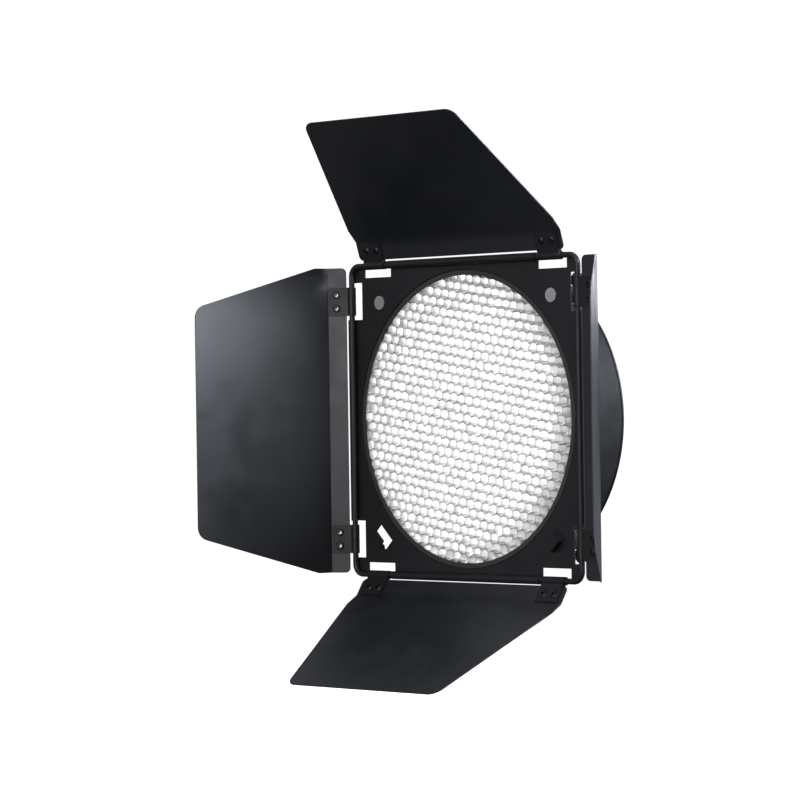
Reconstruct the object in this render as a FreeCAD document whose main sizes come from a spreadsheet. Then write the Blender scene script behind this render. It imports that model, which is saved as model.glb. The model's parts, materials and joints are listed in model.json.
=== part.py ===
import FreeCAD, Part
import Sketcher
import math
import os
import re

# Barn door attachment for a 7 inch lamp reflector, in millimetres.
# The origin is the centre of the collar's rear mouth. +Z is up and -Y is the
# front, the way the light leaves. Every sub-part is drawn in a local frame
# with x to the right, y up and z forward, and its Placement turns it upright.

SIZES = {
    # square frame: hinge rod, face plate and its curled edges
    "hinge_half": 91.8,        # centre to the hinge rod's axis
    "rod_forward": 39.4,       # collar mouth to the plane of the hinge rod
    "rod_radius": 1.7,
    "rod_bend": 6.0,           # corner bend, on the rod's axis
    "sheet": 0.7,              # sheet of the plate, collar, doors and clips
    "curl_half": 60.0,         # half length of one curled edge
    "curl_turn": 240.0,        # how far the sheet wraps round the rod
    "plate_front": 37.7,       # plate's front face, tangent to the rod's back
    "opening_radius": 86.9,
    "slot_centre": 71.0,       # middle of a hinge slot, along the side
    "slot_half": 11.0,
    "slot_inner": 84.8,        # centre to the slot's inner edge
    "corner_reach": 98.5,      # centre to the hooks and magnets on the diagonals
    # filter hooks and magnets
    "hook_window_half": 6.5,
    "hook_window_inner": 94.5,
    "hook_window_outer": 102.5,
    "hook_half": 4.5,
    "hook_inner": 97.0,
    "hook_gap": 3.2,           # room for a filter between plate and hook
    "hook_root": 0.2,          # how far a hook's stem runs into the plate
    "magnet_radius": 4.1,
    "magnet_proud": 0.6,
    "magnet_fit": 0.02,        # radial
    # mounting collar: a wide drum, a shoulder and a narrower sleeve
    "flange_inner": 88.2,
    "drum_radius": 92.1,
    "shoulder_front": 21.2,
    "shoulder_back": 18.6,
    "sleeve_radius": 89.3,
    "sleeve_bore": 88.6,
    "lip_radius": 0.75,
    "drum_round": 1.2,
    "shoulder_shift": 0.15,    # back along the axis, inner face to outer face
    # honeycomb grid insert and its spring ring
    "grid_front": 37.5,
    "grid_depth": 11.0,
    "rim_radius": 86.4,
    "rim_window": 83.6,
    "rim_wall": 0.8,
    "rim_shoulder": 90.6,
    "cell_pitch": 6.2,
    "cell_wall": 0.45,
    "cell_tilt": -9.0,
    "core_depth": 9.6,
    "core_gap": 0.05,          # between the core, its rim and the flange
    "core_border": 0.3,        # least wall outside the outermost cells
    "ring_wire": 1.0,          # wire radius
    "ring_radius": 90.3,
    "ring_gap": 9.0,           # half the ring's open angle, degrees
    "ring_prong": 3.0,         # turned-in end, for pliers
    "ring_seat": 0.1,          # gap between the ring and the grid's shoulder
    # doors
    "hinge_edge": 3.4,         # rod axis to the door's near edge
    "bend_line": 14.9,         # rod axis to the bend
    "taper_start": 24.0,
    "free_edge": 105.8,
    "wide_half": 91.2,         # left and right doors
    "wide_tip_half": 67.3,
    "wide_bend": 48.0,
    "slim_half": 82.9,         # top and bottom doors
    "slim_tip_half": 60.1,
    "slim_bend": 26.0,
    "flange_corner": 3.0,
    "tip_corner": 8.0,
    "left_open": 150.6,        # flange angle from folded flat over the opening
    "right_open": 178.0,
    "top_open": 162.8,
    "bottom_open": 146.6,
    # hinge clips and rivets
    "clip_half": 8.5,
    "clip_reach": 14.2,
    "clip_throat": 0.5,        # rod axis to where the legs part
    "rod_clearance": 0.08,
    "rivet_half": 4.0,         # half the spacing of a clip's two rivets
    "rivet_out": 9.2,          # rod axis to the rivets
    "rivet_hole": 1.55,
    "rivet_shank": 1.5,
    "rivet_bore": 0.9,
    "rivet_head": 2.4,
    "rivet_crown": 0.7,
    "rivet_taper": 0.72,       # top of a rivet's head over its foot
    # clamp screws
    "screw_forward": 9.3,      # collar mouth to the screws' axes
    "boss_radius": 5.5,
    "boss_top": 94.5,
    "counterbore_top": 92.6,
    "pad_bore": 4.2,
    "pad_radius": 4.1,
    "pad_face": 88.75,
    "pad_back": 91.2,
    "socket_floor": 89.9,
    "socket_gap": 0.05,        # between the screw's end and the socket's floor
    "thread_bore": 2.5,
    "thread_radius": 2.45,
    "knob_face": 99.5,
    "knob_radius": 5.5,
    "knob_height": 5.0,
    "knob_round": 0.8,
    "knob_skin": 1.2,          # knob over the screw's outer end
    "hub_radius": 4.0,
    "hub_height": 0.8,
    "knob_groove": 0.6,
    "groove_out": 0.3,         # groove's centre outside the knob
    "knob_grooves": 16,
}
SIDES = {"top": 0, "right": -90, "bottom": 180, "left": 90}
WIDE_SIDES = ("left", "right")
SCREW_SIDES = {"upper": -40, "lower": -140, "left": 90}
EACH_WAY = (-1, 1)
SCREW_END = "knob_face + knob_height - knob_skin"
DIAGONAL_REACH = "corner_reach * sqrt(0.5)"
OVERCUT = 5                    # how far a cutting tool runs past what it cuts
SAME_POINT = 0.01
WORD = re.compile(r"[A-Za-z_]\w*")

UPRIGHT = FreeCAD.Rotation(FreeCAD.Vector(1, 0, 0), 90)
FORWARD = FreeCAD.Vector(0, -1, 0)
FLAT = FreeCAD.Rotation()
ALONG_Y = FreeCAD.Rotation(FreeCAD.Vector(1, 0, 0), -90)

doc = FreeCAD.newDocument("barn_door_attachment")
sheet = doc.addObject("Spreadsheet::Sheet", "Sizes")
for row, (alias, size) in enumerate(SIZES.items(), start=1):
    sheet.set(f"A{row}", alias)
    sheet.set(f"B{row}", str(size))
    sheet.setAlias(f"B{row}", alias)
doc.recompute()


# ---------------------------------------------------------------- helpers
def value(expression):
    """The number that an expression of the sheet's aliases gives."""
    found = sheet.evalExpression(expression)
    return float(getattr(found, "Value", found))


def bound(expression):
    """The expression with every alias written as a reference to the sheet."""
    return WORD.sub(lambda word: f"Sizes.{word[0]}" if word[0] in SIZES else word[0], expression)


def bind(item, prop, expression):
    item.setExpression(prop, bound(expression))


def bind_constraint(sketch, kind, where, expression):
    index = sketch.addConstraint(Sketcher.Constraint(kind, *where, value(expression)))
    bind(sketch, f"Constraints[{index}]", expression)


def turned(degrees):
    """The rotation that puts a local frame upright, turned about the light's axis."""
    return FreeCAD.Rotation(FORWARD, degrees).multiply(UPRIGHT)


def new_body(label, placement=None):
    body = doc.addObject("PartDesign::Body", label)
    body.Label = label
    body.Placement = placement or FreeCAD.Placement(FreeCAD.Vector(), UPRIGHT)
    return body


def new_sketch(body, name, role="XY_Plane", offset=None):
    sketch = body.newObject("Sketcher::SketchObject", f"{body.Label}_{name}")
    plane = next(f for f in body.Origin.OriginFeatures if f.Role == role)
    sketch.AttachmentSupport = [(plane, "")]
    sketch.MapMode = "FlatFace"
    if offset is not None:
        sketch.AttachmentOffset = offset
    return sketch


def circle(sketch, across, up, radius):
    """A circle whose centre and radius are expressions."""
    centre = FreeCAD.Vector(value(across), value(up), 0)
    geo = sketch.addGeometry(Part.Circle(centre, FreeCAD.Vector(0, 0, 1), value(radius)))
    bind_constraint(sketch, "Radius", (geo,), radius)
    bind_constraint(sketch, "DistanceX", (-1, 1, geo, 3), across)
    bind_constraint(sketch, "DistanceY", (-1, 1, geo, 3), up)
    return geo


def polygon(sketch, corners):
    """A closed outline whose corners are pairs of expressions."""
    points = [FreeCAD.Vector(value(across), value(up), 0) for across, up in corners]
    first = None
    for start, end in zip(points, points[1:] + points[:1]):
        geo = sketch.addGeometry(Part.LineSegment(start, end))
        first = geo if first is None else first
    count = len(points)
    for step in range(count):
        here = first + step
        following = first + (step + 1) % count
        sketch.addConstraint(Sketcher.Constraint("Coincident", here, 2, following, 1))
    for step, (across, up) in enumerate(corners):
        bind_constraint(sketch, "DistanceX", (-1, 1, first + step, 1), across)
        bind_constraint(sketch, "DistanceY", (-1, 1, first + step, 1), up)


def box_outline(sketch, left, right, low, high):
    polygon(sketch, [(left, low), (right, low), (right, high), (left, high)])


def pad(body, sketch, length, midplane=False, backward=False):
    feature = body.newObject("PartDesign::Pad", f"{sketch.Name}_pad")
    feature.Profile = sketch
    bind(feature, "Length", length)
    feature.Midplane = midplane
    feature.Reversed = backward
    return feature


def pocket_through(body, sketch):
    feature = body.newObject("PartDesign::Pocket", f"{sketch.Name}_pocket")
    feature.Profile = sketch
    feature.Type = "ThroughAll"
    feature.Midplane = True
    return feature


def repeat_round(body, feature, count):
    """Repeat a feature evenly about the body's own z axis."""
    pattern = body.newObject("PartDesign::PolarPattern", f"{feature.Name}_pattern")
    pattern.Originals = [feature]
    axis = next(f for f in body.Origin.OriginFeatures if f.Role == "Z_Axis")
    pattern.Axis = (axis, [""])
    pattern.Angle = 360
    pattern.Occurrences = count
    body.Tip = pattern
    return pattern


def fillet(body, base, edges, radius):
    feature = body.newObject("PartDesign::Fillet", f"{base.Name}_fillet")
    feature.Base = (base, edges)
    bind(feature, "Radius", radius)
    return feature


def revolve(body, sketch):
    feature = body.newObject("PartDesign::Revolution", f"{sketch.Name}_turned")
    feature.Profile = sketch
    feature.ReferenceAxis = (sketch, ["V_Axis"])
    feature.Angle = 360
    return feature


def edges_where(shape, test):
    return [f"Edge{n}" for n, edge in enumerate(shape.Edges, start=1) if test(edge)]


def feature_part(label, shape, placement=None):
    part = doc.addObject("Part::Feature", label)
    part.Label = label
    part.Shape = shape
    part.Placement = placement or FreeCAD.Placement(FreeCAD.Vector(), UPRIGHT)
    return part


# ---------------------------------------------------------------- frame
def make_face_plate():
    """Square plate with a round opening, curled edges, hinge slots and two filter hooks."""
    body = new_body("face_plate")
    back = FreeCAD.Placement(FreeCAD.Vector(0, 0, value("plate_front - sheet")), FLAT)
    outline = new_sketch(body, "outline", offset=back)
    bind(outline, "AttachmentOffset.Base.z", "plate_front - sheet")
    box_outline(outline, "-hinge_half", "hinge_half", "-hinge_half", "hinge_half")
    blank = pad(body, outline, "sheet")
    doc.recompute()
    corners = edges_where(blank.Shape, lambda e: abs(e.Vertexes[0].Z - e.Vertexes[-1].Z) > SAME_POINT)
    fillet(body, blank, corners, "rod_bend")

    opening = new_sketch(body, "opening")
    circle(opening, "0", "0", "opening_radius")
    pocket_through(body, opening)

    slots = new_sketch(body, "slots")
    for way in EACH_WAY:
        near = f"{way} * slot_centre - slot_half"
        far = f"{way} * slot_centre + slot_half"
        box_outline(slots, near, far, "slot_inner", f"hinge_half + {OVERCUT}")
    repeat_round(body, pocket_through(body, slots), len(SIDES))

    repeat_round(body, pad(body, curl_section(body), "2 * curl_half", midplane=True), len(SIDES))
    for way in EACH_WAY:
        add_hook(body, way)

    seats = new_sketch(body, "magnet_seats")
    for way in EACH_WAY:
        circle(seats, f"{way} * {DIAGONAL_REACH}", DIAGONAL_REACH, "magnet_radius")
    pocket_through(body, seats)
    return body


def curl_section(body):
    """The sheet's section where it wraps from behind the rod, round its outside to the front."""
    sketch = new_sketch(body, "curl", role="YZ_Plane")
    centre = FreeCAD.Vector(value("hinge_half"), value("rod_forward"), 0)
    start = math.radians(-90)
    end = start + math.radians(value("curl_turn"))
    arcs = []
    for radius in ("rod_radius", "rod_radius + sheet"):
        ring = Part.Circle(centre, FreeCAD.Vector(0, 0, 1), value(radius))
        arcs.append(sketch.addGeometry(Part.ArcOfCircle(ring, start, end)))
        bind_constraint(sketch, "Radius", (arcs[-1],), radius)
        bind_constraint(sketch, "DistanceX", (-1, 1, arcs[-1], 3), "hinge_half")
        bind_constraint(sketch, "DistanceY", (-1, 1, arcs[-1], 3), "rod_forward")
    inner, outer = (sketch.Geometry[arc] for arc in arcs)
    for point, which in (("StartPoint", 1), ("EndPoint", 2)):
        line = sketch.addGeometry(Part.LineSegment(getattr(inner, point), getattr(outer, point)))
        sketch.addConstraint(Sketcher.Constraint("Coincident", line, 1, arcs[0], which))
        sketch.addConstraint(Sketcher.Constraint("Coincident", line, 2, arcs[1], which))
    first = len(sketch.Geometry) - 2
    sketch.addConstraint(Sketcher.Constraint("Vertical", first))
    bind_constraint(sketch, "DistanceX", (-1, 1, first, 1), "hinge_half")
    bind_constraint(sketch, "Angle", (first + 1,), "(curl_turn - 90) * 1 deg")
    return sketch


def add_hook(body, way):
    """A window in a lower corner of the plate, with its tongue bent forward and then inward."""
    turn = FreeCAD.Rotation(FreeCAD.Vector(0, 0, 1), 180 + 45 * way)
    side = "left" if way < 0 else "right"

    def hook_sketch(name, height):
        offset = FreeCAD.Placement(FreeCAD.Vector(0, 0, value(height)), turn)
        sketch = new_sketch(body, f"{side}_{name}", offset=offset)
        bind(sketch, "AttachmentOffset.Base.z", height)
        return sketch

    window = hook_sketch("window", "0")
    box_outline(window, "-hook_window_half", "hook_window_half", "hook_window_inner", "hook_window_outer")
    pocket_through(body, window)
    stem = hook_sketch("stem", "plate_front - sheet")
    root = "hook_window_outer + hook_root"
    box_outline(stem, "-hook_half", "hook_half", "hook_window_outer - sheet", root)
    pad(body, stem, "hook_gap + 2 * sheet")
    lip = hook_sketch("lip", "plate_front + hook_gap")
    box_outline(lip, "-hook_half", "hook_half", "hook_inner", "hook_window_outer")
    pad(body, lip, "sheet")


def make_hinge_rod():
    """One round rod bent into a closed square, which all four doors hinge on."""
    body = new_body("hinge_rod")
    level = FreeCAD.Placement(FreeCAD.Vector(0, 0, value("rod_forward")), FLAT)
    path = new_sketch(body, "path", offset=level)
    bind(path, "AttachmentOffset.Base.z", "rod_forward")
    half = value("hinge_half")
    bend = value("rod_bend")
    run = half - bend
    sides = []
    bends = []
    for number in range(4):
        turn = FreeCAD.Rotation(FreeCAD.Vector(0, 0, 1), 90 * number)
        start = turn.multVec(FreeCAD.Vector(half, -run, 0))
        end = turn.multVec(FreeCAD.Vector(half, run, 0))
        sides.append(path.addGeometry(Part.LineSegment(start, end)))
        centre = turn.multVec(FreeCAD.Vector(run, run, 0))
        ring = Part.Circle(centre, FreeCAD.Vector(0, 0, 1), bend)
        angle = math.radians(90 * number)
        bends.append(path.addGeometry(Part.ArcOfCircle(ring, angle, angle + math.pi / 2)))
        bind_constraint(path, "Radius", (bends[-1],), "rod_bend")
    for number in range(4):
        following = sides[(number + 1) % 4]
        path.addConstraint(Sketcher.Constraint("Tangent", sides[number], 2, bends[number], 1))
        path.addConstraint(Sketcher.Constraint("Tangent", bends[number], 2, following, 1))
    for number, (kind, sign) in enumerate((("X", ""), ("Y", ""), ("X", "-"), ("Y", "-"))):
        upright = "Vertical" if kind == "X" else "Horizontal"
        path.addConstraint(Sketcher.Constraint(upright, sides[number]))
        bind_constraint(path, f"Distance{kind}", (-1, 1, sides[number], 1), f"{sign}hinge_half")

    section = new_sketch(body, "section", role="XZ_Plane")
    circle(section, "hinge_half", "rod_forward", "rod_radius")
    rod = body.newObject("PartDesign::AdditivePipe", "hinge_rod_pipe")
    rod.Profile = section
    rod.Spine = path
    return body


def make_magnet(side, way):
    body = new_body(f"filter_magnet_{side}")
    level = FreeCAD.Placement(FreeCAD.Vector(0, 0, value("plate_front - sheet")), FLAT)
    face = new_sketch(body, "face", offset=level)
    bind(face, "AttachmentOffset.Base.z", "plate_front - sheet")
    circle(face, f"{way} * {DIAGONAL_REACH}", DIAGONAL_REACH, "magnet_radius - magnet_fit")
    pad(body, face, "sheet + magnet_proud")
    return body


# ---------------------------------------------------------------- collar
def make_mounting_collar():
    """Stepped ring that carries the plate and slides over the reflector's rim."""
    body = new_body("mounting_collar")
    section = new_sketch(body, "section", role="XZ_Plane")
    back = "plate_front - sheet"
    polygon(section, [
        ("flange_inner", back),
        ("drum_radius", back),
        ("drum_radius", "shoulder_front"),
        ("sleeve_radius", "shoulder_back"),
        ("sleeve_radius", "0.0"),
        ("sleeve_bore", "0.0"),
        ("sleeve_bore", "shoulder_back + shoulder_shift"),
        ("drum_radius - sheet", "shoulder_front + shoulder_shift"),
        ("drum_radius - sheet", "plate_front - 2 * sheet"),
        ("flange_inner", "plate_front - 2 * sheet"),
    ])
    shell = revolve(body, section)
    doc.recompute()

    def is_outer_bend(edge):
        if not hasattr(edge.Curve, "Radius") or len(edge.Vertexes) != 1:
            return False
        where = (round(edge.Curve.Radius, 2), round(edge.Vertexes[0].Z, 2))
        return where in bends

    bends = {
        (value("drum_radius"), value("shoulder_front")),
        (value("drum_radius"), value(back)),
    }
    fillet(body, shell, edges_where(shell.Shape, is_outer_bend), "drum_round")
    lip = new_sketch(body, "lip", role="XZ_Plane")
    circle(lip, "sleeve_bore + lip_radius", "lip_radius", "lip_radius")
    revolve(body, lip)
    for side, turn in SCREW_SIDES.items():
        outward = FreeCAD.Placement(FreeCAD.Vector(), FreeCAD.Rotation(FreeCAD.Vector(0, 0, 1), turn))
        outward = outward.multiply(FreeCAD.Placement(FreeCAD.Vector(), ALONG_Y))
        hole = new_sketch(body, f"{side}_pad_hole", offset=outward)
        circle(hole, "0", "-screw_forward", "pad_bore")
        cut = body.newObject("PartDesign::Pocket", f"{hole.Name}_pocket")
        cut.Profile = hole
        cut.Reversed = True
        bind(cut, "Length", f"drum_radius + {OVERCUT}")
    return body


def make_screw_boss(side, turn):
    """Welded boss: threaded for the clamp screw, counterbored for the pad to draw back into."""
    def cylinder(name, radius, height):
        part = doc.addObject("Part::Cylinder", f"boss_{side}_{name}")
        bind(part, "Radius", radius)
        bind(part, "Height", height)
        # the boss stands out along local y, at the screws' height
        part.Placement = FreeCAD.Placement(FreeCAD.Vector(0, 0, value("screw_forward")), ALONG_Y)
        return part

    blank = cylinder("blank", "boss_radius", "boss_top")
    tools = [
        cylinder("pad_bore", "pad_bore", "counterbore_top"),
        cylinder("thread", "thread_bore", f"boss_top + {OVERCUT}"),
        doc.addObject("Part::Cylinder", f"boss_{side}_sleeve"),
    ]
    bind(tools[-1], "Radius", "sleeve_radius")
    bind(tools[-1], "Height", "rod_forward")
    cut = doc.addObject("Part::MultiFuse", f"boss_{side}_tools")
    cut.Shapes = tools
    boss = doc.addObject("Part::Cut", f"screw_boss_{side}")
    boss.Label = f"screw_boss_{side}"
    boss.Base = blank
    boss.Tool = cut
    boss.Placement = FreeCAD.Placement(FreeCAD.Vector(), turned(turn))
    return boss


def radial_placement(turn):
    """A frame whose z axis runs outward along a clamp screw, from the collar's centre."""
    outward = turned(turn).multiply(ALONG_Y)
    base = FreeCAD.Vector(0, -value("screw_forward"), 0)
    return FreeCAD.Placement(base, outward)


def disc_on_axis(body, name, radius, low, high):
    level = FreeCAD.Placement(FreeCAD.Vector(0, 0, value(low)), FLAT)
    sketch = new_sketch(body, name, offset=level)
    bind(sketch, "AttachmentOffset.Base.z", low)
    circle(sketch, "0", "0", radius)
    return pad(body, sketch, f"({high}) - ({low})")


def make_clamp_pad(side, turn):
    body = new_body(f"clamp_pad_{side}", radial_placement(turn))
    disc_on_axis(body, "disc", "pad_radius", "pad_face", "pad_back")
    level = FreeCAD.Placement(FreeCAD.Vector(0, 0, value("socket_floor")), FLAT)
    socket = new_sketch(body, "socket", offset=level)
    bind(socket, "AttachmentOffset.Base.z", "socket_floor")
    circle(socket, "0", "0", "thread_bore")
    cut = body.newObject("PartDesign::Pocket", f"clamp_pad_{side}_socket_pocket")
    cut.Profile = socket
    cut.Reversed = True
    bind(cut, "Length", f"pad_back - socket_floor + {OVERCUT}")
    return body


def make_clamp_screw(side, turn):
    body = new_body(f"clamp_screw_{side}", radial_placement(turn))
    disc_on_axis(body, "thread", "thread_radius", "socket_floor + socket_gap", SCREW_END)
    return body


def make_clamp_knob(side, turn):
    """Grooved knob moulded on the clamp screw's outer end."""
    body = new_body(f"clamp_knob_{side}", radial_placement(turn))
    head = disc_on_axis(body, "head", "knob_radius", "knob_face", "knob_face + knob_height")
    doc.recompute()
    fillet(body, head, edges_where(head.Shape, lambda e: len(e.Vertexes) == 1), "knob_round")
    grooves = new_sketch(body, "groove")
    circle(grooves, "knob_radius + groove_out", "0", "knob_groove")
    repeat_round(body, pocket_through(body, grooves), int(value("knob_grooves")))
    hub = disc_on_axis(body, "hub", "hub_radius", "knob_face - hub_height", "knob_face")
    body.Tip = hub
    bore = new_sketch(body, "bore")
    circle(bore, "0", "0", "thread_radius")
    cut = body.newObject("PartDesign::Pocket", f"clamp_knob_{side}_bore_pocket")
    cut.Profile = bore
    cut.Reversed = True
    bind(cut, "Length", SCREW_END)
    return body


# ---------------------------------------------------------------- grid insert
def make_grid_rim():
    """Turned rim: a front lip, a thin wall and a shoulder that rests on the collar's flange."""
    body = new_body("grid_rim")
    section = new_sketch(body, "section", role="XZ_Plane")
    shoulder_front = "plate_front - 2 * sheet - core_gap"
    shoulder_back = f"{shoulder_front} - rim_wall"
    polygon(section, [
        ("rim_window", "grid_front"),
        ("rim_radius", "grid_front"),
        ("rim_radius", shoulder_front),
        ("rim_shoulder", shoulder_front),
        ("rim_shoulder", shoulder_back),
        ("rim_radius", shoulder_back),
        ("rim_radius", "grid_front - grid_depth"),
        ("rim_radius - rim_wall", "grid_front - grid_depth"),
        ("rim_radius - rim_wall", "grid_front - rim_wall"),
        ("rim_window", "grid_front - rim_wall"),
    ])
    revolve(body, section)
    return body


def make_honeycomb_core():
    """Hexagonal cells in staggered rows, as many as fit inside the rim."""
    pitch = value("cell_pitch")
    outer = value("rim_radius - rim_wall - core_gap")
    cell = (pitch - value("cell_wall")) / math.sqrt(3)
    tilt = FreeCAD.Rotation(FreeCAD.Vector(0, 0, 1), value("cell_tilt"))
    row_pitch = pitch * math.sqrt(3) / 2
    front = value("grid_front - rim_wall - core_gap")
    level = front - value("core_depth")
    rows = int(outer / row_pitch) + 1
    columns = int(outer / pitch) + 1
    wires = [Part.Wire(Part.makeCircle(outer, FreeCAD.Vector(0, 0, level)))]
    for row in range(-rows, rows + 1):
        shift = pitch / 2 if row % 2 else 0
        for column in range(-columns, columns + 1):
            centre = tilt.multVec(FreeCAD.Vector(column * pitch + shift, row * row_pitch, level))
            if math.hypot(centre.x, centre.y) + cell < outer - value("core_border"):
                wires.append(hexagon(centre, cell, tilt))
    face = Part.makeFace(wires, "Part::FaceMakerBullseye")
    return feature_part("honeycomb_core", face.extrude(FreeCAD.Vector(0, 0, front - level)))


def hexagon(centre, size, tilt):
    corners = []
    for number in range(6):
        angle = math.radians(60 * number + 30)
        arm = FreeCAD.Vector(size * math.cos(angle), size * math.sin(angle), 0)
        corners.append(centre + tilt.multVec(arm))
    return Part.makePolygon(corners + corners[:1])


def make_retaining_ring():
    """Open ring of spring wire, sprung into the drum behind the grid's shoulder."""
    radius = value("ring_radius")
    level = value("plate_front - 2 * sheet - rim_wall - ring_wire - ring_seat")
    gap = math.radians(value("ring_gap"))
    prong = value("ring_prong")

    def on_ring(angle, out):
        return FreeCAD.Vector(out * math.sin(angle), out * math.cos(angle), level)

    ends = [on_ring(gap, radius), on_ring(math.pi, radius), on_ring(-gap, radius)]
    tips = [on_ring(gap, radius - prong), on_ring(-gap, radius - prong)]
    wire = doc.addObject("Part::Feature", "ring_wire_path")
    edges = [Part.LineSegment(tips[0], ends[0]).toShape()]
    edges.append(Part.Arc(*ends).toShape())
    edges.append(Part.LineSegment(ends[2], tips[1]).toShape())
    wire.Shape = Part.Wire(edges)
    outward = ends[0] - tips[0]
    section = Part.Wire(Part.makeCircle(value("ring_wire"), tips[0], outward))
    solid = wire.Shape.makePipeShell([section], True, False, 2)
    return feature_part("grid_retaining_ring", solid)


# ---------------------------------------------------------------- doors
def door_placement(side):
    """Hinge axis on local x, door lying along local y, opened to its own angle."""
    open_angle = value(f"{side}_open")
    lift = FreeCAD.Rotation(FreeCAD.Vector(1, 0, 0), 180 - open_angle)
    turn = turned(SIDES[side])
    base = turn.multVec(FreeCAD.Vector(0, value("hinge_half"), value("rod_forward")))
    return FreeCAD.Placement(base, turn.multiply(lift))


def door_kind(side):
    return "wide" if side in WIDE_SIDES else "slim"


def make_door(side):
    """Sheet door: a flange by the hinge, a bend, and a blade that tapers to its free edge."""
    kind = door_kind(side)
    body = new_body(f"{side}_door", door_placement(side))
    flange = new_sketch(body, "flange")
    box_outline(flange, f"-{kind}_half", f"{kind}_half", "hinge_edge", "bend_line")
    for way in EACH_WAY:
        for step in EACH_WAY:
            circle(flange, f"{way} * slot_centre + {step} * rivet_half", "rivet_out", "rivet_hole")
    strip = pad(body, flange, "sheet", midplane=True)
    doc.recompute()
    near = value("hinge_edge")
    thickness = value("sheet")

    def is_hinge_corner(edge):
        ends = edge.Vertexes
        if len(ends) != 2 or edge.Length > 2 * thickness:
            return False
        return all(abs(v.Y - near) < SAME_POINT for v in ends)

    fillet(body, strip, edges_where(strip.Shape, is_hinge_corner), "flange_corner")

    bend = new_sketch(body, "bend", role="YZ_Plane")
    circle(bend, "bend_line", "0", "sheet / 2")
    pad(body, bend, f"2 * {kind}_half", midplane=True)

    fold = FreeCAD.Rotation(FreeCAD.Vector(1, 0, 0), value(f"{kind}_bend"))
    at_bend = FreeCAD.Placement(FreeCAD.Vector(0, value("bend_line"), 0), fold)
    blade = new_sketch(body, "blade", offset=at_bend)
    bind(blade, "AttachmentOffset.Base.y", "bend_line")
    bind(blade, "AttachmentOffset.Rotation.Angle", f"{kind}_bend * 1 deg")
    polygon(blade, [
        (f"-{kind}_half", "0.0"),
        (f"{kind}_half", "0.0"),
        (f"{kind}_half", "taper_start - bend_line"),
        (f"{kind}_tip_half", "free_edge - bend_line"),
        (f"-{kind}_tip_half", "free_edge - bend_line"),
        (f"-{kind}_half", "taper_start - bend_line"),
    ])
    leaf = pad(body, blade, "sheet", midplane=True)
    doc.recompute()
    tip = fold.multVec(FreeCAD.Vector(0, value("free_edge - bend_line"), 0))
    tip += FreeCAD.Vector(0, value("bend_line"), 0)

    def is_tip_corner(edge):
        ends = edge.Vertexes
        if len(ends) != 2 or edge.Length > 2 * thickness:
            return False
        return all(math.hypot(v.Y - tip.y, v.Z - tip.z) < thickness for v in ends)

    fillet(body, leaf, edges_where(leaf.Shape, is_tip_corner), "tip_corner")
    return body


def make_clip(side, number, way):
    """Strap folded round the hinge rod, with its two legs closed on the door's flange."""
    placement = door_placement(side)
    along = FreeCAD.Placement(FreeCAD.Vector(way * value("slot_centre"), 0, 0), FLAT)
    body = new_body(f"{side}_hinge_clip_{number}", placement.multiply(along))
    width = "2 * clip_half"
    leg = "1.5 * sheet"
    eye = new_sketch(body, "eye", role="YZ_Plane")
    circle(eye, "0", "0", "rod_radius + rod_clearance + sheet")
    pad(body, eye, width, midplane=True)
    legs = new_sketch(body, "legs", role="YZ_Plane")
    box_outline(legs, "0.0", "clip_reach", f"-{leg}", leg)
    pad(body, legs, width, midplane=True)
    inside = new_sketch(body, "inside", role="YZ_Plane")
    circle(inside, "0", "0", "rod_radius + rod_clearance")
    pocket_through(body, inside)
    throat = new_sketch(body, "throat", role="YZ_Plane")
    box_outline(throat, "clip_throat", f"clip_reach + {OVERCUT}", "-sheet / 2", "sheet / 2")
    pocket_through(body, throat)
    holes = new_sketch(body, "rivet_holes")
    for step in EACH_WAY:
        circle(holes, f"{step} * rivet_half", "rivet_out", "rivet_hole")
    pocket_through(body, holes)
    return body


def make_rivets(side):
    """The four hollow rivets that close one door's two clips on its flange."""
    grip = value("1.5 * sheet")
    crown = value("rivet_crown")
    head = value("rivet_head")
    shank = value("rivet_shank")
    bore = value("rivet_bore")
    shoulder = head * value("rivet_taper")
    profile = Part.makePolygon([FreeCAD.Vector(r, 0, h) for r, h in (
        (bore, -grip - crown), (shoulder, -grip - crown), (head, -grip), (shank, -grip),
        (shank, grip), (head, grip), (shoulder, grip + crown), (bore, grip + crown), (bore, -grip - crown),
    )])
    rivet = Part.Face(profile).revolve(FreeCAD.Vector(), FreeCAD.Vector(0, 0, 1), 360)
    solids = []
    for way in EACH_WAY:
        for step in EACH_WAY:
            across = way * value("slot_centre") + step * value("rivet_half")
            solids.append(rivet.translated(FreeCAD.Vector(across, value("rivet_out"), 0)))
    return feature_part(f"{side}_door_rivets", Part.Compound(solids), door_placement(side))


# ---------------------------------------------------------------- assembly
def make_all():
    parts = [make_face_plate(), make_hinge_rod(), make_mounting_collar()]
    parts += [make_grid_rim(), make_honeycomb_core(), make_retaining_ring()]
    parts += [make_magnet(side, way) for side, way in zip(("left", "right"), EACH_WAY)]
    for side in SIDES:
        parts.append(make_door(side))
        for number, way in enumerate(EACH_WAY, start=1):
            parts.append(make_clip(side, number, way))
        parts.append(make_rivets(side))
    for side, turn in SCREW_SIDES.items():
        parts.append(make_screw_boss(side, turn))
        parts.append(make_clamp_pad(side, turn))
        parts.append(make_clamp_screw(side, turn))
        parts.append(make_clamp_knob(side, turn))
    doc.recompute()
    return parts


def check_document(parts):
    for item in doc.Objects:
        if {"Invalid", "Error"} & set(item.State):
            raise RuntimeError(f"{item.Label} failed: {item.State}")
    for part in parts:
        if part.Shape.isNull() or not part.Shape.isValid():
            raise RuntimeError(f"{part.Label} has no valid shape")


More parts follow.
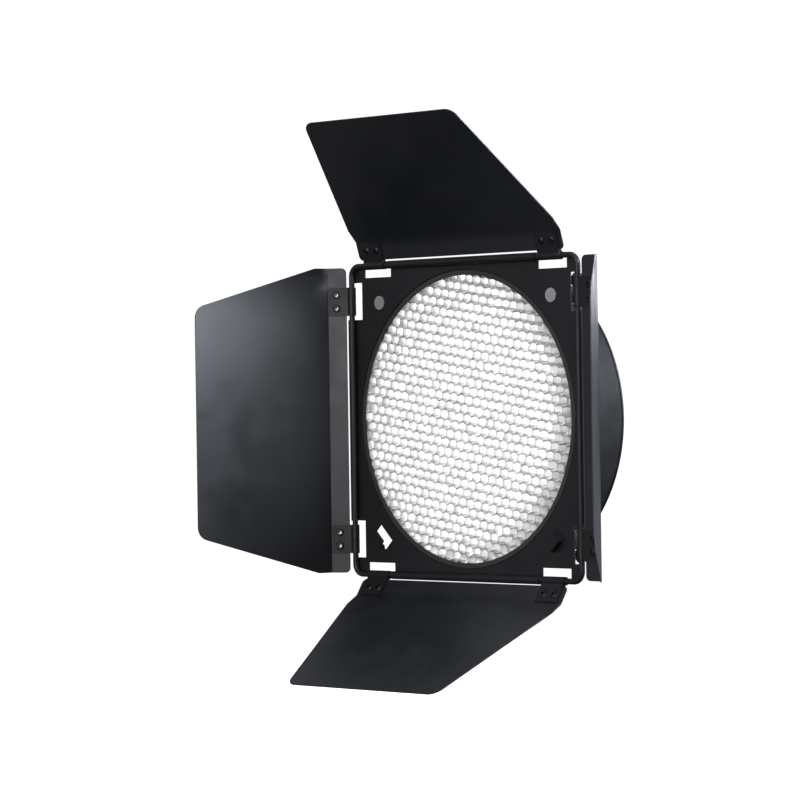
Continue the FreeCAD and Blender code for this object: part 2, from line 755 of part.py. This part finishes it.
def write_parts(parts):
    os.makedirs("parts", exist_ok=True)
    for part in parts:
        part.Shape.exportStep(f"parts/{part.Label}.step")
        box = part.Shape.BoundBox
        print(f"{part.Label:24s} solids {len(part.Shape.Solids)}  volume {part.Shape.Volume:9.1f}  "
              f"x {box.XMin:7.1f}..{box.XMax:6.1f}  y {box.YMin:7.1f}..{box.YMax:6.1f}  "
              f"z {box.ZMin:7.1f}..{box.ZMax:6.1f}")


all_parts = make_all()
check_document(all_parts)
write_parts(all_parts)
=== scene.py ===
import json
import math
import random

import bmesh
import bpy
from mathutils import Matrix, Vector


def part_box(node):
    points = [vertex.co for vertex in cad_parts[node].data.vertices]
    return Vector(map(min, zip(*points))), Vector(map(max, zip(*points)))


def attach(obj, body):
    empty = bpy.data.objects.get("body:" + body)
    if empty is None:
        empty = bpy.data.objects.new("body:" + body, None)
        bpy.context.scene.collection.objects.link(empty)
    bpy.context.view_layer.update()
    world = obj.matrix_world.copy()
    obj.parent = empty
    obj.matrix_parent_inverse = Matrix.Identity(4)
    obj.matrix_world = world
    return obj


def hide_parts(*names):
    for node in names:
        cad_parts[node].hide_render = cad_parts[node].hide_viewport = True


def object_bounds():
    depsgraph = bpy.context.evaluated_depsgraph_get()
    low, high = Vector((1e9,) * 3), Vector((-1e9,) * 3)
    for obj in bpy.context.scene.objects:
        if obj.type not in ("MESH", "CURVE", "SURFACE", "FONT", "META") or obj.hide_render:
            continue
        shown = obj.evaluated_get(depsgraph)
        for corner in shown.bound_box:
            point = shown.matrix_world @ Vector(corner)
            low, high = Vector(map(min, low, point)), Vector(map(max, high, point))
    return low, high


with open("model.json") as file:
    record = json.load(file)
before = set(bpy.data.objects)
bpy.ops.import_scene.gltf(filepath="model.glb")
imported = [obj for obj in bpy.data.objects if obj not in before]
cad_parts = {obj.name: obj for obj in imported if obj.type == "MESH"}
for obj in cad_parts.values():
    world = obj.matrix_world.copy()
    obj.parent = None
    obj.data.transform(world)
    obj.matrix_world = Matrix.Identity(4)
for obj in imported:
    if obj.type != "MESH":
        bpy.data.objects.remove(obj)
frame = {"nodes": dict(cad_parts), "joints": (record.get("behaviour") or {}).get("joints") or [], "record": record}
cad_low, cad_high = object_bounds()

# A barn door attachment: a black square frame with four folding doors, a honeycomb grid
# and a clamp collar behind. Lengths are metres, in the CAD model's own frame: -Y is the
# front, +Z is up, and the light's axis is x = z = 0.

NODES = frame["nodes"]
SIDES = ("top", "right", "bottom", "left")
SCREWS = ("upper", "lower", "left")
FRAME_BODY = "frame"
MM = 0.001


# ------------------------------------------------------------------ materials
class Look:
    """A Principled material and the few procedural layers that every surface here uses."""

    def __init__(self, name, color, roughness, metallic=0.0, specular=0.5):
        self.material = bpy.data.materials.new(name)
        self.material.use_nodes = True
        self.tree = self.material.node_tree
        self.shader = self.tree.nodes["Principled BSDF"]
        self.shader.inputs["Base Color"].default_value = (*color, 1.0)
        self.shader.inputs["Roughness"].default_value = roughness
        self.shader.inputs["Metallic"].default_value = metallic
        self.shader.inputs["Specular IOR Level"].default_value = specular
        self.place = self.tree.nodes.new("ShaderNodeTexCoord").outputs["Object"]
        self.bumped = None

    def node(self, kind, **inputs):
        made = self.tree.nodes.new(kind)
        for name, value in inputs.items():
            made.inputs[name.replace("_", " ")].default_value = value
        return made

    def link(self, start, end):
        self.tree.links.new(start, end)

    def noise(self, size, detail=3.0, stretch=(1.0, 1.0, 1.0)):
        """Noise whose features are about size metres across, drawn out by stretch."""
        mapping = self.node("ShaderNodeMapping", Scale=stretch)
        self.link(self.place, mapping.inputs["Vector"])
        made = self.node("ShaderNodeTexNoise", Scale=1.0 / size, Detail=detail, Roughness=0.55)
        self.link(mapping.outputs["Vector"], made.inputs["Vector"])
        return made.outputs["Fac"]

    def remap(self, value, low, high, start=0.3, end=0.7):
        """value from start..end to low..high."""
        made = self.tree.nodes.new("ShaderNodeMapRange")
        self.link(value, made.inputs["Value"])
        made.inputs["From Min"].default_value = start
        made.inputs["From Max"].default_value = end
        made.inputs["To Min"].default_value = low
        made.inputs["To Max"].default_value = high
        return made.outputs["Result"]

    def mix_color(self, factor, other):
        """Lays another colour over what the base colour is so far."""
        made = self.tree.nodes.new("ShaderNodeMix")
        made.data_type = "RGBA"
        base = self.shader.inputs["Base Color"]
        if base.links:
            self.link(base.links[0].from_socket, made.inputs["A"])
        else:
            made.inputs["A"].default_value = base.default_value
        made.inputs["B"].default_value = (*other, 1.0)
        self.link(factor, made.inputs["Factor"])
        self.link(made.outputs["Result"], base)
        return self

    def tint(self, other, size, detail, most):
        """Cloudy patches of another colour, about size metres across."""
        return self.mix_color(self.remap(self.noise(size, detail), 0.0, most), other)

    def vary_roughness(self, low, high, size, stretch=(1.0, 1.0, 1.0)):
        cloud = self.remap(self.noise(size, 4.0, stretch), low, high)
        self.link(cloud, self.shader.inputs["Roughness"])
        return self

    def bump(self, size, height, detail=2.0, stretch=(1.0, 1.0, 1.0)):
        """Relief of about height metres; layers stack, the first is the finest."""
        made = self.node("ShaderNodeBump", Strength=1.0, Distance=height)
        self.link(self.noise(size, detail, stretch), made.inputs["Height"])
        if self.bumped:
            self.link(self.bumped, made.inputs["Normal"])
        self.bumped = made.outputs["Normal"]
        self.link(self.bumped, self.shader.inputs["Normal"])
        return self

    def worn_edges(self, color, radius, most):
        """Lighter metal where an edge is sharp and the noise is high.

        An edge counts as sharp where the rounded normal and the true one part.
        """
        soft = self.tree.nodes.new("ShaderNodeBevel")
        soft.samples = 4
        soft.inputs["Radius"].default_value = radius
        flat = self.tree.nodes.new("ShaderNodeNewGeometry")
        dot = self.tree.nodes.new("ShaderNodeVectorMath")
        dot.operation = "DOT_PRODUCT"
        self.link(soft.outputs["Normal"], dot.inputs[0])
        self.link(flat.outputs["Normal"], dot.inputs[1])
        edge = self.remap(dot.outputs["Value"], 1.0, 0.0, 0.82, 0.97)
        both = self.tree.nodes.new("ShaderNodeMath")
        both.operation = "MULTIPLY"
        self.link(edge, both.inputs[0])
        self.link(self.remap(self.noise(2.5 * MM, 5.0), 0.0, most, 0.45, 0.75), both.inputs[1])
        return self.mix_color(both.outputs["Value"], color)


def powder_coat(name, color, roughness, specular=0.6):
    """Satin black powder coat on sheet steel: fine orange peel, faint cloudiness, rubbed edges."""
    look = Look(name, color, roughness, specular=specular)
    look.tint([c * 1.6 + 0.002 for c in color], 45 * MM, 2.0, 0.6)
    look.vary_roughness(roughness - 0.07, roughness + 0.08, 18 * MM)
    look.bump(0.55 * MM, 0.018 * MM, 3.0).bump(3.5 * MM, 0.02 * MM, 1.0)
    look.worn_edges((0.16, 0.16, 0.165), 0.25 * MM, 0.55)
    return look.material


def brushed_metal(name, color, roughness, stretch=(1.0, 1.0, 1.0)):
    """Bare metal, finely streaked, dulled in patches."""
    look = Look(name, color, roughness, metallic=1.0)
    look.tint([c * 0.72 for c in color], 1.5 * MM, 4.0, 0.7)
    look.vary_roughness(roughness - 0.08, roughness + 0.12, 1.2 * MM, stretch)
    look.bump(0.35 * MM, 0.006 * MM, 2.0, stretch)
    return look.material


def foil(name):
    """Thin aluminium foil: bright, slightly crumpled and dulled by handling."""
    look = Look(name, (0.62, 0.625, 0.63), 0.34, metallic=0.55)
    look.tint((0.42, 0.42, 0.43), 4 * MM, 4.0, 0.6)
    look.vary_roughness(0.25, 0.5, 2.5 * MM)
    look.bump(1.4 * MM, 0.06 * MM, 3.0)
    return look.material


def moulded_plastic(name, color):
    """Black plastic with a fine grain and rubbed edges."""
    look = Look(name, color, 0.5)
    look.tint([c * 1.6 + 0.004 for c in color], 6 * MM, 3.0, 0.5)
    look.vary_roughness(0.4, 0.6, 3 * MM)
    look.bump(0.3 * MM, 0.02 * MM, 3.0)
    look.worn_edges((0.09, 0.09, 0.09), 0.3 * MM, 0.6)
    return look.material


def rubber(name):
    """Matt black rubber with dusty patches."""
    look = Look(name, (0.028, 0.027, 0.026), 0.75, specular=0.3)
    look.tint((0.06, 0.058, 0.055), 2 * MM, 4.0, 0.6)
    look.vary_roughness(0.65, 0.85, 1.5 * MM)
    look.bump(0.25 * MM, 0.03 * MM, 3.0)
    return look.material


LOOKS = {
    "black_powder_coat": powder_coat("plate_coat", (0.013, 0.0133, 0.0142), 0.42),
    "black_door_coat": powder_coat("door_coat", (0.010, 0.011, 0.0145), 0.4, 1.0),
    "black_clip_coat": powder_coat("clip_coat", (0.012, 0.012, 0.0128), 0.42),
    "black_rod_coat": powder_coat("rod_coat", (0.016, 0.016, 0.017), 0.36),
    "grey_grid_rim": powder_coat("rim_coat", (0.05, 0.05, 0.05), 0.5),
    "dark_rivet": brushed_metal("rivet_steel", (0.09, 0.09, 0.095), 0.4),
    "nickel_magnet": brushed_metal("magnet_nickel", (0.86, 0.86, 0.85), 0.55, (4.0, 1.0, 1.0)),
    "bright_honeycomb": foil("honeycomb_foil"),
    "spring_steel": brushed_metal("ring_steel", (0.4, 0.4, 0.41), 0.32, (1.0, 4.0, 1.0)),
    "zinc_screw": brushed_metal("screw_zinc", (0.56, 0.56, 0.54), 0.3),
    "black_knob": moulded_plastic("knob_plastic", (0.02, 0.02, 0.02)),
    "pad_rubber": rubber("pad_rubber"),
}


# ------------------------------------------------------------------ pieces
BODY_OF = {
    node: body
    for body, nodes in frame["record"]["behaviour"]["bodies"].items()
    for node in nodes
}
SLOT_OF = {part["node"]: part["material_slot"] for part in frame["record"]["subparts"]}


def paint(piece, slot):
    piece.data.materials.clear()
    piece.data.materials.append(LOOKS[slot])


def stand_in(piece, node):
    """A finished piece that rides where a CAD node does, with its finish, in its place."""
    paint(piece, SLOT_OF[node])
    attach(piece, BODY_OF[node])
    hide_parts(node)


def new_piece(name, mesh_builder):
    mesh = bpy.data.meshes.new(name)
    mesh_builder.to_mesh(mesh)
    mesh_builder.free()
    piece = bpy.data.objects.new(name, mesh)
    bpy.context.scene.collection.objects.link(piece)
    return piece


def smooth(piece):
    for polygon in piece.data.polygons:
        polygon.use_smooth = True


WELD_DISTANCE = 0.001 * MM
FLAT_ANGLE = math.radians(0.3)     # triangles flatter than this to each other are one face
SHARP_ANGLE = math.radians(35)     # edges sharper than this are rounded
SHEET_ROUNDING = 0.12 * MM
CLIP_ROUNDING = 0.1 * MM


def softened(node, width):
    """The node's own shape with its triangles merged into flat faces and its edges rounded."""
    builder = bmesh.new()
    builder.from_mesh(NODES[node].data)
    bmesh.ops.remove_doubles(builder, verts=builder.verts, dist=WELD_DISTANCE)
    bmesh.ops.dissolve_limit(
        builder, angle_limit=FLAT_ANGLE, verts=builder.verts, edges=builder.edges
    )
    piece = new_piece(f"{node}_finished", builder)
    if "custom_normal" in piece.data.attributes:
        piece.data.attributes.remove(piece.data.attributes["custom_normal"])
    smooth(piece)
    rounding = piece.modifiers.new("rounded_edges", "BEVEL")
    rounding.width = width
    rounding.segments = 2
    rounding.limit_method = "ANGLE"
    rounding.angle_limit = SHARP_ANGLE
    rounding.use_clamp_overlap = False
    rounding.harden_normals = True
    stand_in(piece, node)


def finish_sheet_metal():
    for node in ["face_plate", "grid_rim", *(f"{side}_door" for side in SIDES)]:
        softened(node, SHEET_ROUNDING)
    for side in SIDES:
        for number in (1, 2):
            softened(f"{side}_hinge_clip_{number}", CLIP_ROUNDING)


# ------------------------------------------------------------------ honeycomb
CELL_PITCH = 6.2 * MM
CELL_TILT = math.radians(-9)
FOIL = 0.26 * MM
SLACK = 0.26 * MM          # how far a foil corner strays from its place
CRUSH_HEIGHT = -0.06       # below this some cells are crushed
CRUSH_SLACK = 0.75 * MM
CRUSH_SHARE = 0.3
SAME_CORNER = 0.3 * MM     # corners nearer than about this are one
CELL_OVERHANG = 0.35       # how many pitches a cell's centre may lie past the rim
CELL_SEED = 7


class FoilCorners:
    """Foil corners shared by three cells: each strays a little, and stays inside the rim."""

    NEIGHBOURS = ((0, 0), (1, 0), (0, 1), (-1, 0), (0, -1), (1, 1), (-1, -1), (1, -1), (-1, 1))

    def __init__(self, edge):
        self.edge = edge
        self.draw = random.Random(CELL_SEED)
        self.known = {}

    def held(self, point):
        return point * (self.edge / point.length) if point.length > self.edge else point

    def stray(self, slack):
        return Vector((self.draw.gauss(0, slack), self.draw.gauss(0, slack)))

    def at(self, point):
        """The corner's place at the front and at the back, the same for all its cells."""
        key = (round(point.x / SAME_CORNER), round(point.y / SAME_CORNER))
        for across, along in self.NEIGHBOURS:
            found = self.known.get((key[0] + across, key[1] + along))
            if found:
                return found
        crushed = point.y < CRUSH_HEIGHT and self.draw.random() < CRUSH_SHARE
        front = self.held(point + self.stray(CRUSH_SLACK if crushed else SLACK) * 0.5)
        back = self.held(front + self.stray(SLACK) * 0.6)
        self.known[key] = (front, back)
        return self.known[key]


def cell_rings(edge):
    """The six corners of every cell, row by row."""
    corners = FoilCorners(edge)
    size = CELL_PITCH / math.sqrt(3)
    row_pitch = size * 1.5
    turn = Matrix.Rotation(CELL_TILT, 2)
    rows = int(edge / row_pitch) + 2
    columns = int(edge / CELL_PITCH) + 2
    cells = []
    for row in range(-rows, rows + 1):
        for column in range(-columns, columns + 1):
            shift = CELL_PITCH / 2 if row % 2 else 0.0
            centre = turn @ Vector((column * CELL_PITCH + shift, row * row_pitch))
            if centre.length > edge + CELL_OVERHANG * CELL_PITCH:
                continue
            ring = []
            for step in range(6):
                way = math.radians(60 * step + 30)
                arm = turn @ (size * Vector((math.cos(way), math.sin(way))))
                ring.append(corners.at(centre + arm))
            cells.append(ring)
    return cells


def cell_walls(builder, ring, low, high, edges, meetings):
    """One cell's tube, a little inside its corners, noted by the edges and corners it has."""
    middle = sum((front for front, _ in ring), Vector((0, 0))) / 6
    verts = []
    for front, back in ring:
        pair = []
        for point, depth in ((front, low.y), (back, high.y)):
            inward = middle - point
            inset = point + inward * min(0.4, FOIL * 0.6 / max(inward.length, 1e-6))
            pair.append(builder.verts.new((inset.x, depth, inset.y)))
        verts.append(pair)
    for step in range(6):
        here, after = verts[step], verts[(step + 1) % 6]
        builder.faces.new((here[0], after[0], after[1], here[1]))
        ends = frozenset((id(ring[step]), id(ring[(step + 1) % 6])))
        edges.setdefault(ends, []).append((here, after))
        meetings.setdefault(id(ring[step]), []).append(here)


def close_outer_edge(builder, here, after, edge):
    """Foil round the outside of an edge that has no cell beyond it."""
    outer = []
    for end in (0, 1):
        outer.append([])
        for vert in (here[end], after[end]):
            flat = Vector((vert.co.x, vert.co.z))
            flat = flat * min((edge + FOIL * 0.5) / flat.length, 1 + FOIL / flat.length)
            outer[end].append(builder.verts.new((flat.x, vert.co.y, flat.y)))
        builder.faces.new((here[end], after[end], outer[end][1], outer[end][0]))
    builder.faces.new((outer[0][0], outer[0][1], outer[1][1], outer[1][0]))


def make_honeycomb():
    """Expanded foil honeycomb: uneven hexagonal tubes, cut off by the round rim."""
    low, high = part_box("honeycomb_core")
    edge = (high.x - low.x) / 2 - FOIL
    builder = bmesh.new()
    edges, meetings = {}, {}
    for ring in cell_rings(edge):
        cell_walls(builder, ring, low, high, edges, meetings)
    for sides in edges.values():
        if len(sides) == 2:
            (a, b), (c, d) = sides
            for end in (0, 1):
                builder.faces.new((a[end], b[end], c[end], d[end]))
        else:
            close_outer_edge(builder, *sides[0], edge)
    for meeting in meetings.values():
        if len(meeting) == 3:
            for end in (0, 1):
                builder.faces.new([pair[end] for pair in meeting])
    bmesh.ops.recalc_face_normals(builder, faces=builder.faces)
    stand_in(new_piece("honeycomb_foil_cells", builder), "honeycomb_core")


# ------------------------------------------------------------------ clamp screws
THREAD_PITCH = 0.8 * MM
THREAD_DEPTH = 0.42 * MM
THREAD_RINGS = 8            # rings of points to one pitch
THREAD_NARROWNESS = 2.4     # how much narrower the groove is than the pitch allows
SCREW_CHAMFER = 0.6 * MM
SCREW_AROUND = 28


def joint_of(child):
    """The joint that moves this body."""
    return next(joint for joint in frame["joints"] if joint["child"] == child)


def screw_frame(side):
    """Origin on the screw's axis at the light's axis, and the outward direction."""
    joint = joint_of(f"clamp_screw_{side}")
    outward = -Vector(joint["axis"]).normalized()
    position = Vector(joint["pos_m"])
    return position - outward * position.dot(outward), outward


def across_axes(outward):
    """Two directions square to outward and to each other."""
    along = Vector((0, 1, 0))
    return along, outward.cross(along).normalized()


def make_screw_thread(side):
    """M5 thread, cut as one helical groove, with a plain chamfer at each end."""
    node = f"clamp_screw_{side}"
    origin, outward = screw_frame(side)
    first, second = across_axes(outward)
    points = [vertex.co for vertex in NODES[node].data.vertices]
    heights = [point.dot(outward) for point in points]
    start, end = min(heights), max(heights)
    radius = max(
        (point - origin - outward * height).length for point, height in zip(points, heights)
    )
    rings = int((end - start) / THREAD_PITCH * THREAD_RINGS)
    builder = bmesh.new()
    before = None
    for ring in range(rings + 1):
        height = start + (end - start) * ring / rings
        here = []
        for step in range(SCREW_AROUND):
            angle = 2 * math.pi * step / SCREW_AROUND
            phase = (height / THREAD_PITCH - step / SCREW_AROUND) % 1.0
            groove = max(0.0, 1 - abs(phase - 0.5) * THREAD_NARROWNESS) * THREAD_DEPTH
            edge = min(height - start, end - height)
            taper = max(0.0, SCREW_CHAMFER - edge)
            out = radius - max(groove, taper)
            arm = first * math.cos(angle) + second * math.sin(angle)
            here.append(builder.verts.new(origin + outward * height + arm * out))
        if before:
            for step in range(SCREW_AROUND):
                after = (step + 1) % SCREW_AROUND
                builder.faces.new((before[step], before[after], here[after], here[step]))
        else:
            builder.faces.new(reversed(here))
        before = here
    builder.faces.new(before)
    bmesh.ops.recalc_face_normals(builder, faces=builder.faces)
    piece = new_piece(f"{node}_thread", builder)
    smooth(piece)
    stand_in(piece, node)


WELD_RADIUS = 0.9 * MM
WELD_STEPS = 120
WELD_AROUND = 10
WELD_RIPPLES = 34
SLEEVE_RADIUS = 89.3 * MM   # outside of the collar's sleeve


def make_weld(side):
    """Rippled weld bead where a screw boss meets the collar's sleeve."""
    origin, outward = screw_frame(side)
    first, second = across_axes(outward)
    boss_low, boss_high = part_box(f"screw_boss_{side}")
    boss_radius = (boss_high.y - boss_low.y) / 2
    builder = bmesh.new()
    rings = []
    for step in range(WELD_STEPS):
        angle = 2 * math.pi * step / WELD_STEPS
        side_step = boss_radius * math.sin(angle)
        height = math.sqrt(SLEEVE_RADIUS**2 - side_step**2)
        centre = origin + outward * height
        centre += first * boss_radius * math.cos(angle) + second * side_step
        away = (first * math.cos(angle) + second * math.sin(angle)).normalized()
        ripple = 1 + 0.14 * math.sin(WELD_RIPPLES * angle) + 0.06 * math.sin(7 * angle + 1)
        bead = WELD_RADIUS * ripple
        ring = []
        for around in range(WELD_AROUND):
            turn = 2 * math.pi * around / WELD_AROUND
            arm = away * math.cos(turn) + outward * math.sin(turn)
            ring.append(builder.verts.new(centre + arm * bead))
        rings.append(ring)
    for ring, following in zip(rings, rings[1:] + rings[:1]):
        for around in range(WELD_AROUND):
            after = (around + 1) % WELD_AROUND
            builder.faces.new((ring[around], ring[after], following[after], following[around]))
    bmesh.ops.recalc_face_normals(builder, faces=builder.faces)
    piece = new_piece(f"boss_weld_{side}", builder)
    smooth(piece)
    paint(piece, "black_powder_coat")
    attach(piece, FRAME_BODY)


# ------------------------------------------------------------------ studio
FLOOR_DROP = 0.09            # the floor lies this far under the lowest door
FLOOR_REACH = 2.6            # flat floor, before it sweeps up
SWEEP_RADIUS = 1.2
SWEEP_STEPS = 8
WALL_TOP = 3.0
CEILING_EDGE = (2.4, 4.2)    # radius and height
CEILING_TOP = 4.6
COVE_AROUND = 64
PAPER_GLOW = 0.76


def make_studio():
    """A pale floor that sweeps up into a backdrop, seen by the camera only."""
    floor_height = cad_low.z - FLOOR_DROP
    profile = [(0.0, 0.0), (FLOOR_REACH, 0.0)]
    for step in range(1, SWEEP_STEPS + 1):
        angle = math.radians(90 * step / SWEEP_STEPS)
        profile.append((
            FLOOR_REACH + SWEEP_RADIUS * math.sin(angle), SWEEP_RADIUS * (1 - math.cos(angle)),
        ))
    profile += [(FLOOR_REACH + SWEEP_RADIUS, WALL_TOP), CEILING_EDGE, (0.0, CEILING_TOP)]
    builder = bmesh.new()
    rings = []
    for radius, height in profile:
        ring = []
        for step in range(COVE_AROUND):
            angle = 2 * math.pi * step / COVE_AROUND
            ring.append(builder.verts.new((
                radius * math.cos(angle), radius * math.sin(angle), floor_height + height,
            )))
        rings.append(ring)
    for ring, following in zip(rings, rings[1:]):
        for step in range(COVE_AROUND):
            after = (step + 1) % COVE_AROUND
            builder.faces.new((ring[step], ring[after], following[after], following[step]))
    bmesh.ops.remove_doubles(builder, verts=builder.verts, dist=0.1 * MM)
    cove = new_piece("studio_cove", builder)
    smooth(cove)
    look = Look("studio_paper", (0.86, 0.86, 0.865), 0.9, specular=0.0)
    look.shader.inputs["Emission Color"].default_value = (1.0, 1.0, 1.0, 1.0)
    look.shader.inputs["Emission Strength"].default_value = PAPER_GLOW
    cove.data.materials.append(look.material)
    cove.visible_diffuse = False
    cove.visible_glossy = False
    cove.visible_shadow = False


def area_light(name, place, target, size, power, color=(1.0, 1.0, 1.0)):
    """A softbox of size metres and power watts, aimed at target, that the camera doesn't see."""
    light = bpy.data.lights.new(name, "AREA")
    light.shape = "RECTANGLE"
    light.size, light.size_y = size
    light.energy = power
    light.color = color
    lamp = bpy.data.objects.new(name, light)
    lamp.location = place
    lamp.rotation_mode = "QUATERNION"
    lamp.rotation_quaternion = (Vector(target) - Vector(place)).to_track_quat("-Z", "Y")
    lamp.visible_camera = False
    bpy.context.scene.collection.objects.link(lamp)
    return lamp


AIR_STRENGTH = 0.32
LIGHT_TARGET = (0.0, -0.05, 0.0)
GLOW_BEHIND = 0.02           # the lamp's glow stands this far behind the grid
GLOW_POWER = 0.44


def make_air():
    """Dim light from all round, dark below and cool above."""
    world = bpy.data.worlds.new("studio_air")
    bpy.context.scene.world = world
    world.use_nodes = True
    nodes = world.node_tree.nodes
    back = nodes["Background"]
    back.inputs["Strength"].default_value = AIR_STRENGTH
    place = nodes.new("ShaderNodeTexCoord")
    split = nodes.new("ShaderNodeSeparateXYZ")
    ramp = nodes.new("ShaderNodeValToRGB")
    ramp.color_ramp.elements[0].position = 0.0
    ramp.color_ramp.elements[0].color = (0.05, 0.05, 0.052, 1)
    ramp.color_ramp.elements[1].position = 0.75
    ramp.color_ramp.elements[1].color = (0.9, 0.93, 1.0, 1)
    lift = nodes.new("ShaderNodeMapRange")
    lift.inputs["From Min"].default_value = -1.0
    links = world.node_tree.links
    links.new(place.outputs["Generated"], split.inputs["Vector"])
    links.new(split.outputs["Z"], lift.inputs["Value"])
    links.new(lift.outputs["Result"], ramp.inputs["Fac"])
    links.new(ramp.outputs["Color"], back.inputs["Color"])


def make_lights():
    """Three softboxes round the object, and the lamp's own glow behind the grid."""
    aim = LIGHT_TARGET
    area_light("right_softbox", (1.3, 0.22, 0.6), aim, (0.7, 0.7), 32, (0.84, 0.9, 1.0))
    area_light("rear_strip", (-0.95, 1.3, 0.5), aim, (0.5, 0.8), 11, (0.9, 0.91, 1.0))
    area_light("front_softbox", (0.5, -1.7, 0.5), aim, (1.2, 1.2), 9)
    low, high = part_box("honeycomb_core")
    span = high.x - low.x
    place, target = (0.0, high.y + GLOW_BEHIND, 0.0), (0.0, low.y, 0.0)
    warm = (1.0, 0.985, 0.96)
    glow = area_light("grid_glow", place, target, (span, span), GLOW_POWER, warm)
    glow.data.shape = "DISK"


# ------------------------------------------------------------------ camera
CAMERA_AZIMUTH = math.radians(44.6)
CAMERA_ELEVATION = math.radians(0.26)
CAMERA_DISTANCE = 1.958
CAMERA_ROLL = math.radians(0.86)
CAMERA_LENS = 152.1
AIM_RIGHT = -0.0365        # where the camera points, from the hinge rod's centre
AIM_UP = 0.0111


def make_camera():
    """The camera, placed round the hinge rod's centre, rolled and then aimed beside it."""
    low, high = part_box("hinge_rod")
    centre = (low + high) / 2
    flat = math.cos(CAMERA_ELEVATION)
    back = Vector((
        math.sin(CAMERA_AZIMUTH) * flat,
        -math.cos(CAMERA_AZIMUTH) * flat,
        math.sin(CAMERA_ELEVATION),
    ))
    right = Vector((0, 0, 1)).cross(back).normalized()
    up = back.cross(right)
    roll = Matrix.Rotation(CAMERA_ROLL, 3, -back)
    right, up = roll @ right, roll @ up
    place = centre + back * CAMERA_DISTANCE
    aim = centre + right * AIM_RIGHT + up * AIM_UP
    back = (place - aim).normalized()
    right = up.cross(back).normalized()
    up = back.cross(right)
    data = bpy.data.cameras.new("photo_camera")
    data.lens = CAMERA_LENS
    data.sensor_width = 36.0
    camera = bpy.data.objects.new("photo_camera", data)
    bpy.context.scene.collection.objects.link(camera)
    axes = Matrix((right, up, back)).transposed().to_4x4()
    camera.matrix_world = Matrix.Translation(place) @ axes
    bpy.context.scene.camera = camera


bpy.context.scene.view_settings.view_transform = "Standard"
make_camera()
make_studio()
make_air()
make_lights()
finish_sheet_metal()
make_honeycomb()
for screw_side in SCREWS:
    make_screw_thread(screw_side)
    make_weld(screw_side)
for node_name, node_object in NODES.items():
    paint(node_object, SLOT_OF[node_name])
